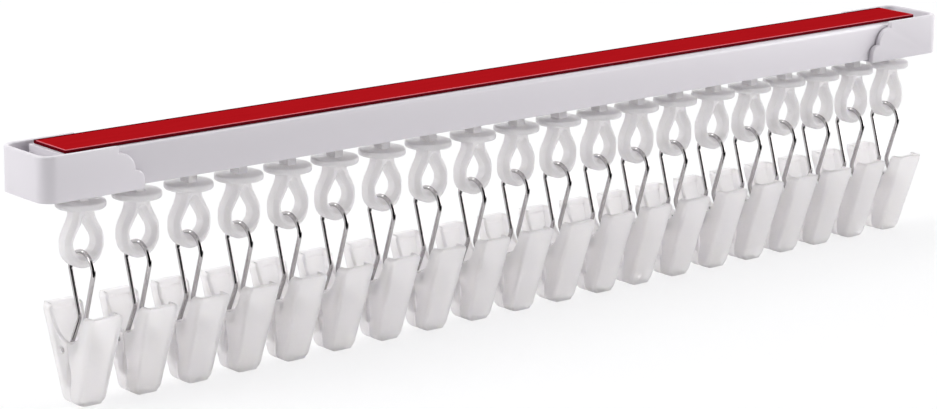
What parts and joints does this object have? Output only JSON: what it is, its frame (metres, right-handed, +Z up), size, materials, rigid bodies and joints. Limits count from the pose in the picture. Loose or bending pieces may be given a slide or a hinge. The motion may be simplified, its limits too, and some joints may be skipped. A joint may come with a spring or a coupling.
{
  "type": "multi-clip hanging rack",
  "caption": "Stick-on hanging rack: a straight white rail with adhesive tape on top and end caps, carrying sliding gliders that each hold a swinging spring clip.",
  "frame": {"origin": "centre of the release film's top face, the face that sticks to a shelf's underside", "axes": "+X along the rail, from the left end in the picture to the right end; +Z up, out of the sticking face; +Y away from the viewer's side"},
  "size_m": [0.3694, 0.0268, 0.0778],
  "materials": {
    "white_plastic": "smooth, slightly glossy white plastic",
    "glider_nylon": "translucent white nylon, satin",
    "jaw_plastic": "frosted translucent plastic",
    "clip_plastic": "frosted translucent plastic, wire and jaws in one solid",
    "spring_steel": "bright drawn steel wire",
    "adhesive": "clear acrylic adhesive layer that shows the red film",
    "red_film": "smooth red release film"
  },
  "bodies": {
    "rail_unit": {"rail": "white_plastic", "adhesive_tape": "adhesive", "release_film": "red_film", "end_cap_left": "white_plastic", "end_cap_right": "white_plastic"},
    "glider_01": {"glider_01": "glider_nylon"},
    "wire_spring_01": {"wire_spring_01": "spring_steel"},
    "back_jaw_01": {"back_jaw_01": "jaw_plastic"},
    "front_jaw_01": {"front_jaw_01": "jaw_plastic"},
    "glider_02": {"glider_02": "glider_nylon"},
    "wire_spring_02": {"wire_spring_02": "spring_steel"},
    "back_jaw_02": {"back_jaw_02": "jaw_plastic"},
    "front_jaw_02": {"front_jaw_02": "jaw_plastic"},
    "glider_03": {"glider_03": "glider_nylon"},
    "wire_spring_03": {"wire_spring_03": "spring_steel"},
    "back_jaw_03": {"back_jaw_03": "jaw_plastic"},
    "front_jaw_03": {"front_jaw_03": "jaw_plastic"},
    "glider_04": {"glider_04": "glider_nylon"},
    "wire_spring_04": {"wire_spring_04": "spring_steel"},
    "back_jaw_04": {"back_jaw_04": "jaw_plastic"},
    "front_jaw_04": {"front_jaw_04": "jaw_plastic"},
    "glider_05": {"glider_05": "glider_nylon"},
    "wire_spring_05": {"wire_spring_05": "spring_steel"},
    "back_jaw_05": {"back_jaw_05": "jaw_plastic"},
    "front_jaw_05": {"front_jaw_05": "jaw_plastic"},
    "glider_06": {"glider_06": "glider_nylon"},
    "wire_spring_06": {"wire_spring_06": "spring_steel"},
    "back_jaw_06": {"back_jaw_06": "jaw_plastic"},
    "front_jaw_06": {"front_jaw_06": "jaw_plastic"},
    "glider_07": {"glider_07": "glider_nylon"},
    "wire_spring_07": {"wire_spring_07": "spring_steel"},
    "back_jaw_07": {"back_jaw_07": "jaw_plastic"},
    "front_jaw_07": {"front_jaw_07": "jaw_plastic"},
    "glider_08": {"glider_08": "glider_nylon"},
    "clip_08": {"clip_08": "clip_plastic"},
    "glider_09": {"glider_09": "glider_nylon"},
    "clip_09": {"clip_09": "clip_plastic"},
    "glider_10": {"glider_10": "glider_nylon"},
    "clip_10": {"clip_10": "clip_plastic"},
    "glider_11": {"glider_11": "glider_nylon"},
    "clip_11": {"clip_11": "clip_plastic"},
    "glider_12": {"glider_12": "glider_nylon"},
    "clip_12": {"clip_12": "clip_plastic"},
    "glider_13": {"glider_13": "glider_nylon"},
    "clip_13": {"clip_13": "clip_plastic"},
    "glider_14": {"glider_14": "glider_nylon"},
    "clip_14": {"clip_14": "clip_plastic"},
    "glider_15": {"glider_15": "glider_nylon"},
    "clip_15": {"clip_15": "clip_plastic"},
    "glider_16": {"glider_16": "glider_nylon"},
    "clip_16": {"clip_16": "clip_plastic"},
    "glider_17": {"glider_17": "glider_nylon"},
    "clip_17": {"clip_17": "clip_plastic"},
    "glider_18": {"glider_18": "glider_nylon"},
    "clip_18": {"clip_18": "clip_plastic"},
    "glider_19": {"glider_19": "glider_nylon"},
    "clip_19": {"clip_19": "clip_plastic"},
    "glider_20": {"glider_20": "glider_nylon"},
    "clip_20": {"clip_20": "clip_plastic"}
  },
  "joints": [
    {"name": "glider_01_slide", "type": "slide", "parent": "rail_unit", "child": "glider_01", "axis": [1, 0, 0], "range_m": [-0.0071, 0.00432]},
    {"name": "clip_01_swing", "type": "hinge", "parent": "glider_01", "child": "wire_spring_01", "pos_m": [-0.165, 0, -0.03872], "axis": [1, 0, 0], "range_deg": [-60, 60]},
    {"name": "back_jaw_01_hinge", "type": "hinge", "parent": "wire_spring_01", "child": "back_jaw_01", "pos_m": [-0.165, 0, -0.05932], "axis": [1, 0, 0], "range_deg": [0, 16], "stiffness_Nm_per_rad": 0.02, "deforming": ["wire_spring_01"]},
    {"name": "front_jaw_01_hinge", "type": "hinge", "parent": "wire_spring_01", "child": "front_jaw_01", "pos_m": [-0.165, 0, -0.05932], "axis": [1, 0, 0], "range_deg": [-16, 0], "stiffness_Nm_per_rad": 0.02, "deforming": ["wire_spring_01"]},
    {"name": "glider_02_slide", "type": "slide", "parent": "rail_unit", "child": "glider_02", "axis": [1, 0, 0], "range_m": [-0.00432, 0.00327]},
    {"name": "clip_02_swing", "type": "hinge", "parent": "glider_02", "child": "wire_spring_02", "pos_m": [-0.14578, 0, -0.03872], "axis": [1, 0, 0], "range_deg": [-60, 60]},
    {"name": "back_jaw_02_hinge", "type": "hinge", "parent": "wire_spring_02", "child": "back_jaw_02", "pos_m": [-0.14578, 0, -0.05932], "axis": [1, 0, 0], "range_deg": [0, 16], "stiffness_Nm_per_rad": 0.02, "deforming": ["wire_spring_02"]},
    {"name": "front_jaw_02_hinge", "type": "hinge", "parent": "wire_spring_02", "child": "front_jaw_02", "pos_m": [-0.14578, 0, -0.05932], "axis": [1, 0, 0], "range_deg": [-16, 0], "stiffness_Nm_per_rad": 0.02, "deforming": ["wire_spring_02"]},
    {"name": "glider_03_slide", "type": "slide", "parent": "rail_unit", "child": "glider_03", "axis": [1, 0, 0], "range_m": [-0.00327, 0.00312]},
    {"name": "clip_03_swing", "type": "hinge", "parent": "glider_03", "child": "wire_spring_03", "pos_m": [-0.12761, 0, -0.03872], "axis": [1, 0, 0], "range_deg": [-60, 60]},
    {"name": "back_jaw_03_hinge", "type": "hinge", "parent": "wire_spring_03", "child": "back_jaw_03", "pos_m": [-0.12761, 0, -0.05932], "axis": [1, 0, 0], "range_deg": [0, 16], "stiffness_Nm_per_rad": 0.02, "deforming": ["wire_spring_03"]},
    {"name": "front_jaw_03_hinge", "type": "hinge", "parent": "wire_spring_03", "child": "front_jaw_03", "pos_m": [-0.12761, 0, -0.05932], "axis": [1, 0, 0], "range_deg": [-16, 0], "stiffness_Nm_per_rad": 0.02, "deforming": ["wire_spring_03"]},
    {"name": "glider_04_slide", "type": "slide", "parent": "rail_unit", "child": "glider_04", "axis": [1, 0, 0], "range_m": [-0.00312, 0.00312]},
    {"name": "clip_04_swing", "type": "hinge", "parent": "glider_04", "child": "wire_spring_04", "pos_m": [-0.10959, 0, -0.03872], "axis": [1, 0, 0], "range_deg": [-60, 60]},
    {"name": "back_jaw_04_hinge", "type": "hinge", "parent": "wire_spring_04", "child": "back_jaw_04", "pos_m": [-0.10959, 0, -0.05932], "axis": [1, 0, 0], "range_deg": [0, 16], "stiffness_Nm_per_rad": 0.02, "deforming": ["wire_spring_04"]},
    {"name": "front_jaw_04_hinge", "type": "hinge", "parent": "wire_spring_04", "child": "front_jaw_04", "pos_m": [-0.10959, 0, -0.05932], "axis": [1, 0, 0], "range_deg": [-16, 0], "stiffness_Nm_per_rad": 0.02, "deforming": ["wire_spring_04"]},
    {"name": "glider_05_slide", "type": "slide", "parent": "rail_unit", "child": "glider_05", "axis": [1, 0, 0], "range_m": [-0.00312, 0.00282]},
    {"name": "clip_05_swing", "type": "hinge", "parent": "glider_05", "child": "wire_spring_05", "pos_m": [-0.09157, 0, -0.03872], "axis": [1, 0, 0], "range_deg": [-60, 60]},
    {"name": "back_jaw_05_hinge", "type": "hinge", "parent": "wire_spring_05", "child": "back_jaw_05", "pos_m": [-0.09157, 0, -0.05932], "axis": [1, 0, 0], "range_deg": [0, 16], "stiffness_Nm_per_rad": 0.02, "deforming": ["wire_spring_05"]},
    {"name": "front_jaw_05_hinge", "type": "hinge", "parent": "wire_spring_05", "child": "front_jaw_05", "pos_m": [-0.09157, 0, -0.05932], "axis": [1, 0, 0], "range_deg": [-16, 0], "stiffness_Nm_per_rad": 0.02, "deforming": ["wire_spring_05"]},
    {"name": "glider_06_slide", "type": "slide", "parent": "rail_unit", "child": "glider_06", "axis": [1, 0, 0], "range_m": [-0.00282, 0.00342]},
    {"name": "clip_06_swing", "type": "hinge", "parent": "glider_06", "child": "wire_spring_06", "pos_m": [-0.07386, 0, -0.03872], "axis": [1, 0, 0], "range_deg": [-60, 60]},
    {"name": "back_jaw_06_hinge", "type": "hinge", "parent": "wire_spring_06", "child": "back_jaw_06", "pos_m": [-0.07386, 0, -0.05932], "axis": [1, 0, 0], "range_deg": [0, 16], "stiffness_Nm_per_rad": 0.02, "deforming": ["wire_spring_06"]},
    {"name": "front_jaw_06_hinge", "type": "hinge", "parent": "wire_spring_06", "child": "front_jaw_06", "pos_m": [-0.07386, 0, -0.05932], "axis": [1, 0, 0], "range_deg": [-16, 0], "stiffness_Nm_per_rad": 0.02, "deforming": ["wire_spring_06"]},
    {"name": "glider_07_slide", "type": "slide", "parent": "rail_unit", "child": "glider_07", "axis": [1, 0, 0], "range_m": [-0.00342, 0.00342]},
    {"name": "clip_07_swing", "type": "hinge", "parent": "glider_07", "child": "wire_spring_07", "pos_m": [-0.05554, 0, -0.03872], "axis": [1, 0, 0], "range_deg": [-60, 60]},
    {"name": "back_jaw_07_hinge", "type": "hinge", "parent": "wire_spring_07", "child": "back_jaw_07", "pos_m": [-0.05554, 0, -0.05932], "axis": [1, 0, 0], "range_deg": [0, 16], "stiffness_Nm_per_rad": 0.02, "deforming": ["wire_spring_07"]},
    {"name": "front_jaw_07_hinge", "type": "hinge", "parent": "wire_spring_07", "child": "front_jaw_07", "pos_m": [-0.05554, 0, -0.05932], "axis": [1, 0, 0], "range_deg": [-16, 0], "stiffness_Nm_per_rad": 0.02, "deforming": ["wire_spring_07"]},
    {"name": "glider_08_slide", "type": "slide", "parent": "rail_unit", "child": "glider_08", "axis": [1, 0, 0], "range_m": [-0.00342, 0.00327]},
    {"name": "clip_08_swing", "type": "hinge", "parent": "glider_08", "child": "clip_08", "pos_m": [-0.03722, 0, -0.03872], "axis": [1, 0, 0], "range_deg": [-60, 60]},
    {"name": "glider_09_slide", "type": "slide", "parent": "rail_unit", "child": "glider_09", "axis": [1, 0, 0], "range_m": [-0.00327, 0.00312]},
    {"name": "clip_09_swing", "type": "hinge", "parent": "glider_09", "child": "clip_09", "pos_m": [-0.01905, 0, -0.03872], "axis": [1, 0, 0], "range_deg": [-60, 60]},
    {"name": "glider_10_slide", "type": "slide", "parent": "rail_unit", "child": "glider_10", "axis": [1, 0, 0], "range_m": [-0.00312, 0.00297]},
    {"name": "clip_10_swing", "type": "hinge", "parent": "glider_10", "child": "clip_10", "pos_m": [-0.00103, 0, -0.03872], "axis": [1, 0, 0], "range_deg": [-60, 60]},
    {"name": "glider_11_slide", "type": "slide", "parent": "rail_unit", "child": "glider_11", "axis": [1, 0, 0], "range_m": [-0.00297, 0.00267]},
    {"name": "clip_11_swing", "type": "hinge", "parent": "glider_11", "child": "clip_11", "pos_m": [0.01683, 0, -0.03872], "axis": [1, 0, 0], "range_deg": [-60, 60]},
    {"name": "glider_12_slide", "type": "slide", "parent": "rail_unit", "child": "glider_12", "axis": [1, 0, 0], "range_m": [-0.00267, 0.00176]},
    {"name": "clip_12_swing", "type": "hinge", "parent": "glider_12", "child": "clip_12", "pos_m": [0.0344, 0, -0.03872], "axis": [1, 0, 0], "range_deg": [-60, 60]},
    {"name": "glider_13_slide", "type": "slide", "parent": "rail_unit", "child": "glider_13", "axis": [1, 0, 0], "range_m": [-0.00176, 0.00251]},
    {"name": "clip_13_swing", "type": "hinge", "parent": "glider_13", "child": "clip_13", "pos_m": [0.05106, 0, -0.03872], "axis": [1, 0, 0], "range_deg": [-60, 60]},
    {"name": "glider_14_slide", "type": "slide", "parent": "rail_unit", "child": "glider_14", "axis": [1, 0, 0], "range_m": [-0.00251, 0.00266]},
    {"name": "clip_14_swing", "type": "hinge", "parent": "glider_14", "child": "clip_14", "pos_m": [0.06847, 0, -0.03872], "axis": [1, 0, 0], "range_deg": [-60, 60]},
    {"name": "glider_15_slide", "type": "slide", "parent": "rail_unit", "child": "glider_15", "axis": [1, 0, 0], "range_m": [-0.00266, 0.00236]},
    {"name": "clip_15_swing", "type": "hinge", "parent": "glider_15", "child": "clip_15", "pos_m": [0.08604, 0, -0.03872], "axis": [1, 0, 0], "range_deg": [-60, 60]},
    {"name": "glider_16_slide", "type": "slide", "parent": "rail_unit", "child": "glider_16", "axis": [1, 0, 0], "range_m": [-0.00236, 0.00176]},
    {"name": "clip_16_swing", "type": "hinge", "parent": "glider_16", "child": "clip_16", "pos_m": [0.1033, 0, -0.03872], "axis": [1, 0, 0], "range_deg": [-60, 60]},
    {"name": "glider_17_slide", "type": "slide", "parent": "rail_unit", "child": "glider_17", "axis": [1, 0, 0], "range_m": [-0.00176, 0.00176]},
    {"name": "clip_17_swing", "type": "hinge", "parent": "glider_17", "child": "clip_17", "pos_m": [0.11996, 0, -0.03872], "axis": [1, 0, 0], "range_deg": [-60, 60]},
    {"name": "glider_18_slide", "type": "slide", "parent": "rail_unit", "child": "glider_18", "axis": [1, 0, 0], "range_m": [-0.00176, 0.00221]},
    {"name": "clip_18_swing", "type": "hinge", "parent": "glider_18", "child": "clip_18", "pos_m": [0.13662, 0, -0.03872], "axis": [1, 0, 0], "range_deg": [-60, 60]},
    {"name": "glider_19_slide", "type": "slide", "parent": "rail_unit", "child": "glider_19", "axis": [1, 0, 0], "range_m": [-0.00221, 0.00297]},
    {"name": "clip_19_swing", "type": "hinge", "parent": "glider_19", "child": "clip_19", "pos_m": [0.15373, 0, -0.03872], "axis": [1, 0, 0], "range_deg": [-60, 60]},
    {"name": "glider_20_slide", "type": "slide", "parent": "rail_unit", "child": "glider_20", "axis": [1, 0, 0], "range_m": [-0.00297, 0.0005]},
    {"name": "clip_20_swing", "type": "hinge", "parent": "glider_20", "child": "clip_20", "pos_m": [0.1716, 0, -0.03872], "axis": [1, 0, 0], "range_deg": [-60, 60]}
  ],
  "couplings": [
    {"joint": "front_jaw_01_hinge", "follows": "back_jaw_01_hinge", "ratio": -1},
    {"joint": "front_jaw_02_hinge", "follows": "back_jaw_02_hinge", "ratio": -1},
    {"joint": "front_jaw_03_hinge", "follows": "back_jaw_03_hinge", "ratio": -1},
    {"joint": "front_jaw_04_hinge", "follows": "back_jaw_04_hinge", "ratio": -1},
    {"joint": "front_jaw_05_hinge", "follows": "back_jaw_05_hinge", "ratio": -1},
    {"joint": "front_jaw_06_hinge", "follows": "back_jaw_06_hinge", "ratio": -1},
    {"joint": "front_jaw_07_hinge", "follows": "back_jaw_07_hinge", "ratio": -1}
  ]
}
